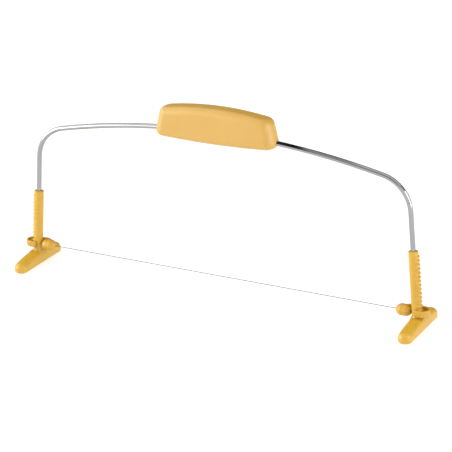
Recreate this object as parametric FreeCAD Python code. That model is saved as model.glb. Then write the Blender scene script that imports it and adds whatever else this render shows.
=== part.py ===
import FreeCAD, Part
import math
import os
from FreeCAD import Vector

# Adjustable wire slicer. A polished steel bow carries a moulded handle, and ends in two ribbed
# sleeves that stand on feet. A hook-shaped slider rides on each sleeve, and the two sliders hold
# a straight cutting wire. Millimetres. X runs along the bow, Y from front to back, Z up. The
# origin is on the table, midway between the feet.

# Bow: a round rod with a shallow arch, two bends and two straight legs that splay outwards.
rod_diameter = 4.0
span_at_table = 340.0
leg_splay_deg = 4.32
arch_height = 135.8
arch_radius = 650.0
bend_radius = 29.0
rod_end_above_table = 3.6
rod_flat_depth = 0.35
rod_flat_top = 56.0

# Handle: two shells that meet on the plane of the bow and clamp the rod between their ribs.
handle_length_at_rod = 103.3
handle_middle_x = 1.0
handle_end_lean_deg = 13.4
handle_end_crown = 8.0
handle_depth = 19.0
handle_top_above_rod = 20.25
handle_bottom_below_rod = 8.35
handle_top_arc_radius = 264.0
handle_bottom_arc_radius = 750.0
handle_top_edge_radius = 6.0
handle_bottom_edge_radius = 4.6
handle_wall = 2.2
handle_rib_thickness = 2.0
handle_rib_spacing = 24.0
handle_ribs = 4
handle_peg_diameter = 4.0
handle_peg_length = 3.0
handle_peg_clearance = 0.1
handle_boss_wall = 1.8
handle_peg_spacing = 58.0
handle_peg_above_rod = 11.0

# Sleeves: round, with a ladder of ribs on the side that faces away from the wire.
sleeve_diameter = 7.8
sleeve_bottom = 13.2
sleeve_top = 63.9
sleeve_edge_chamfer = 0.45
rib_height = 0.95
rib_edge_radius = 1.15
rib_pitch = 3.3
rib_count = 14

# Feet: bars along Y with a flat underside, round ends and a neck that meets the sleeve.
foot_length = 62.0
foot_width = 11.2
foot_end_height = 7.2
foot_middle_height = 11.4
foot_top_edge_radius = 4.6
foot_bottom_edge_radius = 1.9
foot_neck_fillet = 3.6
foot_neck_inset = 0.5

# Sliders: a flat hook round the sleeve, with an egg-shaped bead that carries the wire's end.
# The web inside the hook lies off its middle plane, upwards on the left and downwards on the right,
# so that with both webs between ribs the wire's ends differ by less than a full rib pitch.
slider_height = 5.1
slider_wall = 2.1
slider_edge_radius = 0.95
slider_clearance = 0.3
slider_web_thickness = 1.5
slider_web_offset = 0.55
slider_bead_drop = 0.6
lowest_notch = 14.75
slider_left_notches_up = 1
lobe_radius = 6.7
lobe_centre_out = 3.8
lobe_centre_back = 0.3
shoulder_radius = 5.2
shoulder_centre_in = 5.0
shoulder_centre_back = 2.6
tip_radius = 1.6
tip_centre_in = 14.6
front_arm_end_in = -0.4
bead_start = 4.4
bead_length = 12.2
bead_diameter = 9.2
bead_widest_share = 0.5
bead_mouth_diameter = 4.6
bead_nose_diameter = 3.6
ferrule_seat_from_tip = 2.2

# Cutting wire and the crimped ferrules that stop its ends inside the beads.
wire_diameter = 0.5
wire_hole_clearance = 0.25
ferrule_diameter = 2.8
ferrule_length = 3.2
ferrule_clearance = 0.2
ferrule_seat_gap = 0.1

LEFT = -1
RIGHT = 1
splay = math.radians(leg_splay_deg)
rod_radius = rod_diameter / 2
sleeve_radius = sleeve_diameter / 2
bead_tip = bead_start + bead_length
ferrule_seat = bead_tip - ferrule_seat_from_tip
slider_rest = {
    RIGHT: lowest_notch + slider_web_offset - slider_bead_drop,
    LEFT: lowest_notch + slider_left_notches_up * rib_pitch - slider_web_offset - slider_bead_drop,
}


def xz(x, z):
    """Point in the plane of the bow."""
    return Vector(x, 0, z)


def on_leg(side, along):
    """Point on a leg's axis, at a distance from the table along the leg."""
    x = span_at_table / 2 - along * math.sin(splay)
    return Vector(side * x, 0, along * math.cos(splay))


def leg_axis(side):
    """Unit vector up a leg."""
    return Vector(-side * math.sin(splay), 0, math.cos(splay))


def stand_on_leg(shape, side):
    """Move a shape that was modelled about +Z so that it stands on a leg's axis."""
    placed = shape.copy()
    placed.rotate(Vector(0, 0, 0), Vector(0, 1, 0), -side * leg_splay_deg)
    placed.translate(on_leg(side, 0))
    return placed


def mirror_to(shape, side):
    """Shapes are modelled for the right leg and mirrored for the left one."""
    if side == RIGHT:
        return shape.copy()
    return shape.mirror(Vector(0, 0, 0), Vector(1, 0, 0))


def arc(start, middle, end):
    return Part.Arc(start, middle, end).toShape()


def line(start, end):
    return Part.LineSegment(start, end).toShape()


def extruded(edges, direction):
    """Solid from a closed outline."""
    return Part.Face(Part.Wire(edges)).extrude(direction)


# Bow

def bend_geometry(side):
    """Tangent points of the bend between the arch and one leg, and the bend's own middle."""
    arch_centre = xz(0, arch_height - arch_radius)
    inward = Vector(-side * math.cos(splay), 0, -math.sin(splay))
    start = on_leg(side, 0) + inward * bend_radius
    axis = leg_axis(side)
    from_centre = start - arch_centre
    half_b = from_centre.dot(axis)
    c = from_centre.dot(from_centre) - (arch_radius - bend_radius) ** 2
    along = -half_b + math.sqrt(half_b ** 2 - c)
    bend_centre = start + axis * along
    to_arch = (bend_centre - arch_centre).normalize()
    to_leg = inward * -1
    on_arch = bend_centre + to_arch * bend_radius
    middle = bend_centre + (to_arch + to_leg).normalize() * bend_radius
    return on_arch, middle, bend_centre + to_leg * bend_radius


def rod_path():
    left_arch, left_middle, left_leg = bend_geometry(LEFT)
    right_arch, right_middle, right_leg = bend_geometry(RIGHT)
    return [
        line(on_leg(LEFT, rod_end_above_table), left_leg),
        arc(left_leg, left_middle, left_arch),
        arc(left_arch, xz(0, arch_height), right_arch),
        arc(right_arch, right_middle, right_leg),
        line(right_leg, on_leg(RIGHT, rod_end_above_table)),
    ]


def round_rod():
    start = on_leg(LEFT, rod_end_above_table)
    section = Part.Wire([Part.Circle(start, leg_axis(LEFT), rod_radius).toShape()])
    return Part.Wire(rod_path()).makePipeShell([section], True, False)


def rod_flat(side):
    """Block that cuts the keying flat on one end of the rod, on the side away from the wire."""
    height = rod_flat_top - rod_end_above_table
    block = Part.makeBox(rod_radius, rod_diameter, height)
    block.translate(Vector(rod_radius - rod_flat_depth, -rod_radius, rod_end_above_table))
    return stand_on_leg(mirror_to(block, side), side)


def frame_rod():
    return round_rod().cut(rod_flat(LEFT)).cut(rod_flat(RIGHT))


# Handle

def handle_plan(inset, z):
    """Outline of the handle at one level: straight sides and half-elliptical ends."""
    lean = (z - arch_height) * math.tan(math.radians(handle_end_lean_deg))
    half_depth = handle_depth / 2 - inset
    crown = handle_end_crown - inset
    centre_x = handle_length_at_rod / 2 - inset - lean - crown
    ends = []
    for side in (RIGHT, LEFT):
        centre = Vector(side * centre_x, 0, z)
        across = Vector(centre.x, -side * half_depth, z)
        ellipse = Part.Ellipse(across, Vector(centre.x + side * crown, 0, z), centre)
        ends.append(Part.ArcOfEllipse(ellipse, 0, math.pi).toShape())
    right, left = ends
    back = line(Vector(centre_x, half_depth, z), Vector(-centre_x, half_depth, z))
    front = line(Vector(-centre_x, -half_depth, z), Vector(centre_x, -half_depth, z))
    return Part.Wire([right, back, left, front])


def handle_slab(inset):
    """Everything between the handle's arched top and its arched underside."""
    top = arch_height + handle_top_above_rod - inset
    bottom = arch_height - handle_bottom_below_rod + inset
    top_radius = handle_top_arc_radius - inset
    bottom_radius = handle_bottom_arc_radius - inset
    reach = handle_length_at_rod * 0.6
    top_z = top - top_radius + math.sqrt(top_radius ** 2 - reach ** 2)
    bottom_z = bottom + bottom_radius - math.sqrt(bottom_radius ** 2 - reach ** 2)
    outline = [
        arc(xz(-reach, top_z), xz(0, top), xz(reach, top_z)),
        line(xz(reach, top_z), xz(reach, bottom_z)),
        arc(xz(reach, bottom_z), xz(0, bottom), xz(-reach, bottom_z)),
        line(xz(-reach, bottom_z), xz(-reach, top_z)),
    ]
    slab = extruded(outline, Vector(0, 2 * handle_depth, 0))
    slab.translate(Vector(0, -handle_depth, 0))
    return slab


def handle_block(inset):
    """The handle's outer form, or the same form with every wall moved in by inset."""
    low = arch_height - 2 * handle_bottom_below_rod
    high = arch_height + 2 * handle_top_above_rod
    prism = Part.makeLoft([handle_plan(inset, low), handle_plan(inset, high)], True, True)
    block = prism.common(handle_slab(inset))
    middle = arch_height + (handle_top_above_rod - handle_bottom_below_rod) / 2
    upper = [edge for edge in block.Edges if edge.BoundBox.ZMin > middle]
    block = block.makeFillet(handle_top_edge_radius - inset, upper)
    low_limit = arch_height - handle_bottom_below_rod + handle_bottom_edge_radius
    lower = [edge for edge in block.Edges if edge.BoundBox.ZMax < low_limit]
    return block.makeFillet(handle_bottom_edge_radius - inset, lower)


def handle_rib_planes():
    first = -handle_rib_spacing * (handle_ribs - 1) / 2
    return [first + handle_rib_spacing * index for index in range(handle_ribs)]


def handle_rib(x):
    """Cross wall inside the handle, from front to back."""
    height = handle_top_above_rod + handle_bottom_below_rod
    plate = Part.makeBox(handle_rib_thickness, handle_depth, height)
    bottom = arch_height - handle_bottom_below_rod
    plate.translate(Vector(x - handle_rib_thickness / 2, -handle_depth / 2, bottom))
    return plate


def peg_places(middle_x):
    z = arch_height + handle_peg_above_rod
    return [xz(middle_x - handle_peg_spacing / 2, z), xz(middle_x + handle_peg_spacing / 2, z)]


def along_y(radius, place, start_y, end_y):
    """Cylinder along Y from start_y to end_y."""
    start = Vector(place.x, start_y, place.z)
    return Part.makeCylinder(radius, end_y - start_y, start, Vector(0, 1, 0))


def handle_walls(rod):
    """Both shells in one piece, before they are split on the plane of the bow."""
    outer = handle_block(0)
    cavity = handle_block(handle_wall)
    boss_radius = handle_peg_diameter / 2 + handle_boss_wall
    inside = [handle_rib(x) for x in handle_rib_planes()]
    inside += [along_y(boss_radius, place, -handle_depth / 2, handle_depth / 2) for place in peg_places(0)]
    kept = inside[0].multiFuse(inside[1:]).common(outer)
    walls = outer.cut(cavity).fuse(kept)
    walls.translate(Vector(handle_middle_x, 0, 0))
    return walls.cut(rod).removeSplitter()


def half_space(side):
    """Block that holds everything on one side of the plane of the bow."""
    block = Part.makeBox(handle_length_at_rod * 2, handle_depth, arch_height)
    start_y = -handle_depth if side < 0 else 0
    block.translate(Vector(-handle_length_at_rod, start_y, arch_height / 2))
    return block


def handle_front_shell(walls):
    shell = walls.common(half_space(-1))
    for place in peg_places(handle_middle_x):
        root = handle_wall - handle_depth / 2
        peg = along_y(handle_peg_diameter / 2, place, root, handle_peg_length)
        shell = shell.fuse(peg)
    return shell.removeSplitter()


def handle_back_shell(walls):
    shell = walls.common(half_space(1))
    radius = handle_peg_diameter / 2 + handle_peg_clearance
    for place in peg_places(handle_middle_x):
        socket = along_y(radius, place, -1, handle_peg_length + handle_peg_clearance)
        shell = shell.cut(socket)
    return shell


# Sleeves

def rib_levels():
    """Height of each rib along the leg: the lowest notch is just under the first one."""
    lowest = lowest_notch + rib_pitch / 2
    return [lowest + rib_pitch * index for index in range(rib_count)]


def sleeve_rib(level):
    """Round-edged disc whose centre is moved out, so that it fades into the sleeve's inner side."""
    flat = sleeve_radius - rib_edge_radius
    outline = [
        line(Vector(0, 0, -rib_edge_radius), Vector(flat, 0, -rib_edge_radius)),
        arc(Vector(flat, 0, -rib_edge_radius), Vector(sleeve_radius, 0, 0), Vector(flat, 0, rib_edge_radius)),
        line(Vector(flat, 0, rib_edge_radius), Vector(0, 0, rib_edge_radius)),
        line(Vector(0, 0, rib_edge_radius), Vector(0, 0, -rib_edge_radius)),
    ]
    disc = Part.Face(Part.Wire(outline)).revolve(Vector(0, 0, 0), Vector(0, 0, 1), 360)
    disc.translate(Vector(rib_height, 0, level))
    return disc


def sleeve(side, rod):
    body = Part.makeCylinder(sleeve_radius, sleeve_top - sleeve_bottom, Vector(0, 0, sleeve_bottom))
    rims = [edge for edge in body.Edges if abs(edge.CenterOfMass.z - sleeve_top) < 1e-6]
    body = body.makeChamfer(sleeve_edge_chamfer, rims)
    body = body.multiFuse([sleeve_rib(level) for level in rib_levels()])
    return stand_on_leg(mirror_to(body, side), side).cut(rod)


# Feet

def foot_bar():
    """Bar along Y: a stadium in plan, with a top that rises gently from its ends."""
    half_width = foot_width / 2
    straight = foot_length / 2 - half_width
    plan = [
        line(Vector(half_width, -straight, 0), Vector(half_width, straight, 0)),
        arc(Vector(half_width, straight, 0), Vector(0, foot_length / 2, 0), Vector(-half_width, straight, 0)),
        line(Vector(-half_width, straight, 0), Vector(-half_width, -straight, 0)),
        arc(Vector(-half_width, -straight, 0), Vector(0, -foot_length / 2, 0), Vector(half_width, -straight, 0)),
    ]
    bar = extruded(plan, Vector(0, 0, foot_middle_height * 2))
    rise = foot_middle_height - foot_end_height
    top_radius = (foot_length ** 2 / 4 + rise ** 2) / (2 * rise)
    drum_axis = Vector(-foot_width, 0, foot_middle_height - top_radius)
    drum = Part.makeCylinder(top_radius, foot_width * 2, drum_axis, Vector(1, 0, 0))
    bar = bar.common(drum)
    top_rim = [edge for edge in bar.Edges if edge.BoundBox.ZMin > foot_end_height / 2]
    bar = bar.makeFillet(foot_top_edge_radius, top_rim)
    bottom_rim = [edge for edge in bar.Edges if edge.BoundBox.ZMax < 1e-6]
    return bar.makeFillet(foot_bottom_edge_radius, bottom_rim)


def foot_neck():
    """Flared neck on the leg's axis, from the bar up to the sleeve's lower end."""
    foot_radius = sleeve_radius + foot_neck_fillet
    low = sleeve_bottom - foot_neck_fillet
    turn = foot_neck_fillet * math.sqrt(0.5)
    bend = Vector(foot_radius - turn, 0, low + foot_neck_fillet - turn)
    outline = [
        line(Vector(0, 0, 0), Vector(foot_radius, 0, 0)),
        line(Vector(foot_radius, 0, 0), Vector(foot_radius, 0, low)),
        arc(Vector(foot_radius, 0, low), bend, Vector(sleeve_radius, 0, sleeve_bottom)),
        line(Vector(sleeve_radius, 0, sleeve_bottom), Vector(0, 0, sleeve_bottom)),
        line(Vector(0, 0, sleeve_bottom), Vector(0, 0, 0)),
    ]
    return Part.Face(Part.Wire(outline)).revolve(Vector(0, 0, 0), Vector(0, 0, 1), 360)


def foot(side, rod):
    bar = foot_bar()
    bar.translate(on_leg(side, 0))
    limits = Part.makeBox(foot_width - 2 * foot_neck_inset, foot_length, sleeve_top)
    limits.translate(Vector(foot_neck_inset - foot_width / 2, -foot_length / 2, foot_end_height / 2))
    limits.translate(on_leg(side, 0))
    neck = stand_on_leg(foot_neck(), side).common(limits)
    return bar.fuse(neck).cut(rod).removeSplitter()


# Sliders

def tangent_points(centre_a, radius_a, centre_b, radius_b):
    """Where the line that touches two circles on their back sides meets each circle."""
    step = centre_b - centre_a
    heading = math.atan2(step.y, step.x)
    turn = math.acos((radius_a - radius_b) / step.Length)
    normal = Vector(math.cos(heading + turn), math.sin(heading + turn), 0)
    return centre_a + normal * radius_a, centre_b + normal * radius_b


def on_circle(centre, radius, direction):
    return centre + direction.normalize() * radius


def hook_side(inset):
    """One side of the hook's outline, from the front arm round the lobe and shoulder to the tip.

    The inner side stops inside the bead, which the arm joins there.
    """
    lobe = Vector(-lobe_centre_out, lobe_centre_back, 0)
    shoulder = Vector(shoulder_centre_in, shoulder_centre_back, 0)
    tip = Vector(tip_centre_in, 0, 0)
    lobe_reach = lobe_radius - inset
    shoulder_reach = shoulder_radius - inset
    lobe_out, shoulder_in = tangent_points(lobe, lobe_reach, shoulder, shoulder_reach)
    shoulder_out, tip_in = tangent_points(shoulder, shoulder_radius, tip, tip_radius)
    if inset > 0:
        along = (tip_in - shoulder_out).normalize()
        inward = (shoulder - shoulder_out).normalize()
        shoulder_out = shoulder_out + inward * inset
        tip_in = shoulder_out + along * ((bead_start + bead_length / 2 - shoulder_out.x) / along.x)
    front = Vector(lobe.x, lobe.y - lobe_reach, 0)
    arm_end = Vector(front_arm_end_in, front.y, 0)
    lobe_middle = on_circle(lobe, lobe_reach, Vector(-1, 0, 0))
    shoulder_middle = on_circle(shoulder, shoulder_reach, (shoulder_in + shoulder_out) * 0.5 - shoulder)
    edges = [
        line(arm_end, front),
        arc(front, lobe_middle, lobe_out),
        line(lobe_out, shoulder_in),
        arc(shoulder_in, shoulder_middle, shoulder_out),
        line(shoulder_out, tip_in),
    ]
    return edges, arm_end, tip_in


def hook_face():
    """Plan of the hook: front arm, lobe behind the sleeve, back arm, and the tip it shares with the bead."""
    outer, outer_end, outer_tip = hook_side(0)
    inner, inner_end, inner_tip = hook_side(slider_wall)
    front_tip = Vector(tip_centre_in, -tip_radius, 0)
    nose = Vector(tip_centre_in + tip_radius, 0, 0)
    inner_corner = Vector(inner_tip.x, -tip_radius, 0)
    tip_edges = [
        arc(outer_tip, nose, front_tip),
        line(front_tip, inner_corner),
        line(inner_corner, inner_tip),
    ]
    rounding = (inner_end.y - outer_end.y) / 2
    cap_middle = Vector(front_arm_end_in + rounding, outer_end.y + rounding, 0)
    cap = arc(inner_end, cap_middle, outer_end)
    return Part.Face(Part.Wire(outer + tip_edges + inner[::-1] + [cap]))


def hook_solid():
    solid = hook_face().extrude(Vector(0, 0, slider_height))
    solid.translate(Vector(0, 0, -slider_height / 2))
    flat = [edge for edge in solid.Edges if edge.BoundBox.ZLength < 1e-6]
    return solid.makeFillet(slider_edge_radius, flat)


def hook_web(side):
    """Thin floor across the lobe that reaches in between two of the sleeve's ribs."""
    depth = lobe_radius - slider_wall / 2
    middle = -side * slider_web_offset
    centre = Vector(-lobe_centre_out, lobe_centre_back, middle - slider_web_thickness / 2)
    disc = Part.makeCylinder(depth, slider_web_thickness, centre)
    reach = lobe_centre_out + lobe_radius
    keep = Part.makeBox(reach + front_arm_end_in, 2 * reach, slider_height)
    keep.translate(Vector(-reach, -reach, -slider_height / 2))
    return disc.common(keep)


def sleeve_space():
    """Room that the ribbed sleeve needs inside the hook, along the leg's own slant."""
    radius = sleeve_radius + slider_clearance
    length = slider_height * 4
    plain = Part.makeCylinder(radius, length, Vector(0, 0, -length / 2))
    ribbed = Part.makeCylinder(radius, length, Vector(-rib_height, 0, -length / 2))
    space = plain.fuse(ribbed)
    space.rotate(Vector(0, 0, 0), Vector(0, 1, 0), leg_splay_deg)
    return space


def bead():
    """Egg-shaped bead about X, with a bore that opens towards the sleeve and seats the ferrule."""
    widest = bead_start + bead_length * bead_widest_share
    mouth = bead_mouth_diameter / 2
    nose = bead_nose_diameter / 2
    full = bead_diameter / 2
    tail = widest - bead_start
    head = bead_tip - widest
    tail_middle = Vector(widest - tail * math.sqrt(0.5), mouth + (full - mouth) * math.sqrt(0.5), 0)
    head_middle = Vector(widest + head * math.sqrt(0.5), nose + (full - nose) * math.sqrt(0.5), 0)
    outline = [
        line(Vector(bead_start, 0, 0), Vector(bead_start, mouth, 0)),
        arc(Vector(bead_start, mouth, 0), tail_middle, Vector(widest, full, 0)),
        arc(Vector(widest, full, 0), head_middle, Vector(bead_tip, nose, 0)),
        line(Vector(bead_tip, nose, 0), Vector(bead_tip, 0, 0)),
        line(Vector(bead_tip, 0, 0), Vector(bead_start, 0, 0)),
    ]
    return Part.Face(Part.Wire(outline)).revolve(Vector(0, 0, 0), Vector(1, 0, 0), 360)


def bead_bores():
    bore = Part.makeCylinder(ferrule_diameter / 2 + ferrule_clearance, ferrule_seat - bead_start + 1,
                             Vector(bead_start - 1, 0, 0), Vector(1, 0, 0))
    wire_hole = Part.makeCylinder(wire_diameter / 2 + wire_hole_clearance, bead_tip,
                                  Vector(bead_start, 0, 0), Vector(1, 0, 0))
    return bore.fuse(wire_hole)


def slider(side):
    """Modelled for the left leg about the point where the bead's axis meets the leg's axis."""
    hook = hook_solid().fuse(hook_web(side))
    hook.translate(Vector(0, 0, slider_bead_drop))
    form = hook.fuse(bead()).cut(sleeve_space()).cut(bead_bores()).removeSplitter()
    placed = mirror_to(form, -side)
    placed.translate(on_leg(side, slider_rest[side]))
    return placed


# Cutting wire

def wire_end(side):
    """Outer end of the wire, flush with the outer end of its ferrule."""
    hub = on_leg(side, slider_rest[side])
    reach = ferrule_seat - ferrule_seat_gap - ferrule_length
    return Vector(hub.x - side * reach, 0, hub.z)


def cutting_wire():
    start = wire_end(LEFT)
    run = wire_end(RIGHT) - start
    return Part.makeCylinder(wire_diameter / 2, run.Length, start, run)


def wire_ferrule(side, wire):
    start = wire_end(side)
    towards = (wire_end(-side) - start).normalize()
    return Part.makeCylinder(ferrule_diameter / 2, ferrule_length, start, towards).cut(wire)


def build():
    rod = frame_rod()
    walls = handle_walls(round_rod())
    wire = cutting_wire()
    parts = {
        "frame_rod": rod,
        "handle_front_shell": handle_front_shell(walls),
        "handle_back_shell": handle_back_shell(walls),
        "cutting_wire": wire,
    }
    for name, side in (("left", LEFT), ("right", RIGHT)):
        parts["sleeve_" + name] = sleeve(side, rod)
        parts["foot_" + name] = foot(side, rod)
        parts["slider_" + name] = slider(side)
        parts["wire_ferrule_" + name] = wire_ferrule(side, wire)
    return parts


def export(parts):
    os.makedirs("parts", exist_ok=True)
    for name, shape in parts.items():
        shape.exportStep("parts/" + name + ".step")
        print(name, shape.ShapeType, len(shape.Solids), "solid", round(shape.Volume, 2), shape.isValid())


export(build())
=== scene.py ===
import math

import bpy
from mathutils import Matrix, Vector


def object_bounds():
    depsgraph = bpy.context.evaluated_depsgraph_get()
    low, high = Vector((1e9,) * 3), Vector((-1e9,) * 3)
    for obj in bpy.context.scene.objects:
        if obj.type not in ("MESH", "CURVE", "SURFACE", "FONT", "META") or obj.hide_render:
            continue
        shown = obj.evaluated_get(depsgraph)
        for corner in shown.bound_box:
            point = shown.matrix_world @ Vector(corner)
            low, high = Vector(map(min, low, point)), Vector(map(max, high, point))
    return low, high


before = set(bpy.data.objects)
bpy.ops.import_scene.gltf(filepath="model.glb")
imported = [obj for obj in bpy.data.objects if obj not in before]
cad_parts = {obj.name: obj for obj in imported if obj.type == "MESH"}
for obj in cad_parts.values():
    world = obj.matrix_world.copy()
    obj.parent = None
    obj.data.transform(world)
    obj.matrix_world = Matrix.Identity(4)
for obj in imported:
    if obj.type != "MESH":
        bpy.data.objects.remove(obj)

# Adjustable wire slicer. Metres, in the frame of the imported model: X along the bow, Y from front
# to back, Z up, origin on the table midway between the feet.

CAD_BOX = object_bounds()

# Camera

VIEW_AZIMUTH = math.radians(27.47)
VIEW_ELEVATION = math.radians(20.8)
VIEW_ROLL = math.radians(-1.19)
VIEW_DISTANCE = 1.5608
VIEW_TARGET = Vector((0.0073, 0.0, 0.0592))
LENS_MM = 158.2
SENSOR_MM = 36.0

# Studio by direction: a wide soft light on the left, an even room on the right, and between them
# a narrow dark gap, which the rod mirrors just right of the handle. The back is dim. The gap's
# start, end and softness say how far a direction points along SIDE_AXIS, and BACK_START and
# BACK_END how far it points along Y. The rest are brightnesses.

SIDE_AXIS = (0.995, 0.0, -0.101)
LEFT_LIGHT = 1.6
DARK_GAP = 0.03
EVEN_ROOM = 0.58
GAP_START = -0.420
GAP_END = -0.350
GAP_SOFTNESS = 0.003
BACK_START = 0.30
BACK_END = 0.65
BACK_SHARE = 0.05

# Area lights: name, place, target, size, power in watts. All but the top one aim at the bow.

BOW_MIDDLE = (0, 0, 0.07)
LIGHTS = [
    ("left_box", (-1.7, -1.0, 0.6), BOW_MIDDLE, (1.1, 1.2), 23),
    ("front_box", (-1.35, -1.7, 0.5), BOW_MIDDLE, (0.7, 0.9), 3.5),
    ("right_box", (1.9, -0.1, 0.6), BOW_MIDDLE, (1.1, 1.2), 23),
    ("fill_box", (1.1, -1.8, 0.6), BOW_MIDDLE, (1.0, 1.0), 4),
    ("top_box", (0.9, 0.3, 2.2), (0.9, 0.3, 0), (2.2, 2.6), 12),
]

# Floor: part of its brightness is its own, so that soft contact shadows stay pale.

FLOOR_HALF_SIZE = 6.0
FLOOR_GREY = 0.45
FLOOR_ROUGHNESS = 0.9
FLOOR_GLOW = 0.66

# Finishes. Plastics: two base colours, roughness and coat. Metals: tint, lowest and highest
# roughness, and the drawn lines per metre with their stretch along X, Y and Z.

HANDLE_PLASTIC = ((0.545, 0.312, 0.044), (0.565, 0.330, 0.054), 0.46, 0.6)
FRAME_PLASTIC = ((0.548, 0.312, 0.012), (0.570, 0.328, 0.018), 0.40, 0.30)
# Slider plastic: a darker, more saturated copy of the frame plastic. This is painted shade for the shade
# that falls on the sliders.
SHADED_SLIDER_PLASTIC = ((0.528, 0.288, 0.010), (0.548, 0.304, 0.016), 0.38, 0.30)
ROD_METAL = ((0.38, 0.38, 0.385), 0.03, 0.08, 2600, (0.05, 1, 1))
WIRE_METAL = ((0.15, 0.15, 0.155), 0.22, 0.32, 5200, (0.05, 1, 1))
CRIMP_METAL = ((0.66, 0.64, 0.60), 0.25, 0.38, 3800, (1, 1, 1))
GLOSS_SPREAD = 0.05
COAT_ROUGHNESS = 0.58
PLASTIC_IOR = 1.55
SMEAR_SHARE = 0.93


def make_camera():
    back = Vector((math.sin(VIEW_AZIMUTH) * math.cos(VIEW_ELEVATION),
                   -math.cos(VIEW_AZIMUTH) * math.cos(VIEW_ELEVATION),
                   math.sin(VIEW_ELEVATION)))
    right = Vector((0, 0, 1)).cross(back).normalized()
    up = back.cross(right)
    rolled_right = right * math.cos(VIEW_ROLL) + up * math.sin(VIEW_ROLL)
    rolled_up = up * math.cos(VIEW_ROLL) - right * math.sin(VIEW_ROLL)
    data = bpy.data.cameras.new("camera")
    data.lens = LENS_MM
    data.sensor_width = SENSOR_MM
    data.clip_end = 20
    camera = bpy.data.objects.new("camera", data)
    turn = Matrix((rolled_right, rolled_up, back)).transposed().to_4x4()
    camera.matrix_world = Matrix.Translation(VIEW_TARGET + back * VIEW_DISTANCE) @ turn
    bpy.context.scene.collection.objects.link(camera)
    bpy.context.scene.camera = camera


# Materials

def new_material(name):
    material = bpy.data.materials.new(name)
    material.use_nodes = True
    tree = material.node_tree
    return material, tree, tree.nodes["Principled BSDF"]


def add(tree, kind, **settings):
    node = tree.nodes.new(kind)
    for key, value in settings.items():
        setattr(node, key, value)
    return node


def noise(tree, scale, detail=2.0, stretch=(1, 1, 1)):
    """Noise in object space; scale is cycles per metre."""
    place = add(tree, "ShaderNodeTexCoord")
    mapping = add(tree, "ShaderNodeMapping")
    mapping.inputs["Scale"].default_value = stretch
    texture = add(tree, "ShaderNodeTexNoise")
    texture.inputs["Scale"].default_value = scale
    texture.inputs["Detail"].default_value = detail
    tree.links.new(place.outputs["Object"], mapping.inputs["Vector"])
    tree.links.new(mapping.outputs["Vector"], texture.inputs["Vector"])
    return texture.outputs["Fac"]


def ramp(tree, value, stops):
    node = add(tree, "ShaderNodeValToRGB")
    elements = node.color_ramp.elements
    while len(elements) < len(stops):
        elements.new(0.5)
    for element, (position, colour) in zip(elements, stops):
        element.position = position
        element.color = (*colour, 1)
    tree.links.new(value, node.inputs["Fac"])
    return node.outputs["Color"]


def remap(tree, value, low, high):
    node = add(tree, "ShaderNodeMapRange")
    node.inputs["To Min"].default_value = low
    node.inputs["To Max"].default_value = high
    tree.links.new(value, node.inputs["Value"])
    return node.outputs["Result"]


def bump(tree, height, strength, distance, previous=None):
    node = add(tree, "ShaderNodeBump")
    node.inputs["Strength"].default_value = strength
    node.inputs["Distance"].default_value = distance
    tree.links.new(height, node.inputs["Height"])
    if previous is not None:
        tree.links.new(previous, node.inputs["Normal"])
    return node.outputs["Normal"]


def plastic(name, deep, pale, gloss, coat):
    """Warm yellow moulded plastic: faint flow marks, a fine grain and slight waviness in the gloss."""
    material, tree, shader = new_material(name)
    clouds = noise(tree, scale=38, detail=4, stretch=(1, 1, 1.6))
    colour = ramp(tree, clouds, [(0.32, deep), (0.68, pale)])
    tree.links.new(colour, shader.inputs["Base Color"])
    mottle = noise(tree, scale=210, detail=5)
    rough = remap(tree, mottle, gloss - GLOSS_SPREAD, gloss + GLOSS_SPREAD)
    tree.links.new(rough, shader.inputs["Roughness"])
    grain = bump(tree, noise(tree, scale=4200, detail=3), strength=0.16, distance=0.00003)
    normal = bump(tree, noise(tree, scale=120, detail=2), strength=0.10, distance=0.00025, previous=grain)
    tree.links.new(normal, shader.inputs["Normal"])
    shader.inputs["Subsurface Weight"].default_value = 0.22
    shader.inputs["Subsurface Radius"].default_value = (1.0, 0.62, 0.22)
    shader.inputs["Subsurface Scale"].default_value = 0.0016
    shader.inputs["IOR"].default_value = PLASTIC_IOR
    shader.inputs["Coat Weight"].default_value = coat
    shader.inputs["Coat Roughness"].default_value = COAT_ROUGHNESS
    return material


def steel(name, tint, low, high, lines, stretch):
    """Drawn steel: fine die lines, patches of smear, and a slight waviness."""
    material, tree, shader = new_material(name)
    smear = noise(tree, scale=34, detail=5)
    smeared = tuple(channel * SMEAR_SHARE for channel in tint)
    colour = ramp(tree, smear, [(0.3, smeared), (0.7, tint)])
    tree.links.new(colour, shader.inputs["Base Color"])
    shader.inputs["Metallic"].default_value = 1.0
    rough = remap(tree, noise(tree, scale=150, detail=5), low, high)
    tree.links.new(rough, shader.inputs["Roughness"])
    drawn = bump(tree, noise(tree, lines, 2, stretch), strength=0.10, distance=0.00002)
    normal = bump(tree, noise(tree, scale=90, detail=2), strength=0.05, distance=0.0002, previous=drawn)
    tree.links.new(normal, shader.inputs["Normal"])
    return material


def dress(node, material):
    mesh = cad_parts[node].data
    mesh.materials.clear()
    mesh.materials.append(material)


# Stage

def make_floor():
    size = FLOOR_HALF_SIZE
    mesh = bpy.data.meshes.new("floor")
    corners = [(-size, -size, 0), (size, -size, 0), (size, size, 0), (-size, size, 0)]
    mesh.from_pydata(corners, [], [(0, 1, 2, 3)])
    floor = bpy.data.objects.new("floor", mesh)
    floor.location.z = CAD_BOX[0][2]
    bpy.context.scene.collection.objects.link(floor)
    material, _, shader = new_material("pale_floor")
    shader.inputs["Base Color"].default_value = (FLOOR_GREY, FLOOR_GREY, FLOOR_GREY, 1)
    shader.inputs["Roughness"].default_value = FLOOR_ROUGHNESS
    shader.inputs["Emission Color"].default_value = (1, 1, 1, 1)
    shader.inputs["Emission Strength"].default_value = FLOOR_GLOW
    mesh.materials.append(material)


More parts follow.
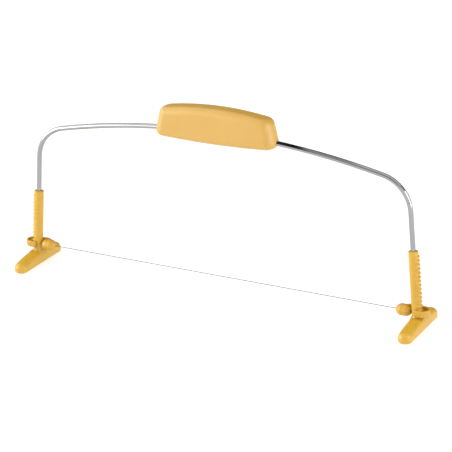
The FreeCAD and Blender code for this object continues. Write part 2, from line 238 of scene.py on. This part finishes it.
def area_light(name, place, target, size, power):
    data = bpy.data.lights.new(name, "AREA")
    data.shape = "RECTANGLE"
    data.size = size[0]
    data.size_y = size[1]
    data.energy = power
    light = bpy.data.objects.new(name, data)
    light.location = place
    light.rotation_euler = (Vector(target) - Vector(place)).to_track_quat("-Z", "Y").to_euler()
    bpy.context.scene.collection.objects.link(light)


def math_node(tree, operation, first, second):
    """Both operands may be numbers or outputs of other nodes."""
    node = add(tree, "ShaderNodeMath", operation=operation)
    for socket, value in zip(node.inputs, (first, second)):
        if isinstance(value, (int, float)):
            socket.default_value = value
        else:
            tree.links.new(value, socket)
    return node.outputs["Value"]


def step_node(tree, value, start, end, low, high):
    """Goes from low to high as value goes from start to end."""
    node = add(tree, "ShaderNodeMapRange", interpolation_type="SMOOTHSTEP")
    node.inputs["From Min"].default_value = start
    node.inputs["From Max"].default_value = end
    node.inputs["To Min"].default_value = low
    node.inputs["To Max"].default_value = high
    tree.links.new(value, node.inputs["Value"])
    return node.outputs["Result"]


def make_world():
    world = bpy.data.worlds.new("studio")
    bpy.context.scene.world = world
    world.use_nodes = True
    tree = world.node_tree
    place = add(tree, "ShaderNodeTexCoord")
    parts = add(tree, "ShaderNodeSeparateXYZ")
    sideways = add(tree, "ShaderNodeVectorMath", operation="DOT_PRODUCT")
    sideways.inputs[1].default_value = SIDE_AXIS
    tree.links.new(place.outputs["Generated"], parts.inputs["Vector"])
    tree.links.new(place.outputs["Generated"], sideways.inputs[0])
    side = sideways.outputs["Value"]
    soft = GAP_SOFTNESS
    left = step_node(tree, side, GAP_START - soft, GAP_START + soft, LEFT_LIGHT - DARK_GAP, 0)
    right = step_node(tree, side, GAP_END - soft, GAP_END + soft, 0, EVEN_ROOM - DARK_GAP)
    around = math_node(tree, "ADD", math_node(tree, "ADD", left, right), DARK_GAP)
    back = step_node(tree, parts.outputs["Y"], BACK_START, BACK_END, 1, BACK_SHARE)
    background = tree.nodes["Background"]
    background.inputs["Color"].default_value = (1, 1, 1, 1)
    tree.links.new(math_node(tree, "MULTIPLY", around, back), background.inputs["Strength"])


make_camera()
make_world()
for light in LIGHTS:
    area_light(*light)
make_floor()
bpy.context.scene.view_settings.view_transform = "Standard"

handle_yellow = plastic("handle_yellow", *HANDLE_PLASTIC)
frame_yellow = plastic("frame_yellow", *FRAME_PLASTIC)
# The slider material carries painted shade: it is darker than the frame plastic to stand in for the shade
# on the sliders.
slider_yellow_painted_shade = plastic("slider_yellow_painted_shade", *SHADED_SLIDER_PLASTIC)
rod_steel = steel("polished_steel", *ROD_METAL)
wire_steel = steel("drawn_wire", *WIRE_METAL)
crimp_steel = steel("crimp_metal", *CRIMP_METAL)
finishes = {"frame_rod": rod_steel, "cutting_wire": wire_steel}
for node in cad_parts:
    if node.startswith("handle"):
        finish = handle_yellow
    elif node.startswith("slider"):
        finish = slider_yellow_painted_shade
    elif node.startswith("wire_ferrule"):
        finish = crimp_steel
    else:
        finish = finishes.get(node, frame_yellow)
    dress(node, finish)
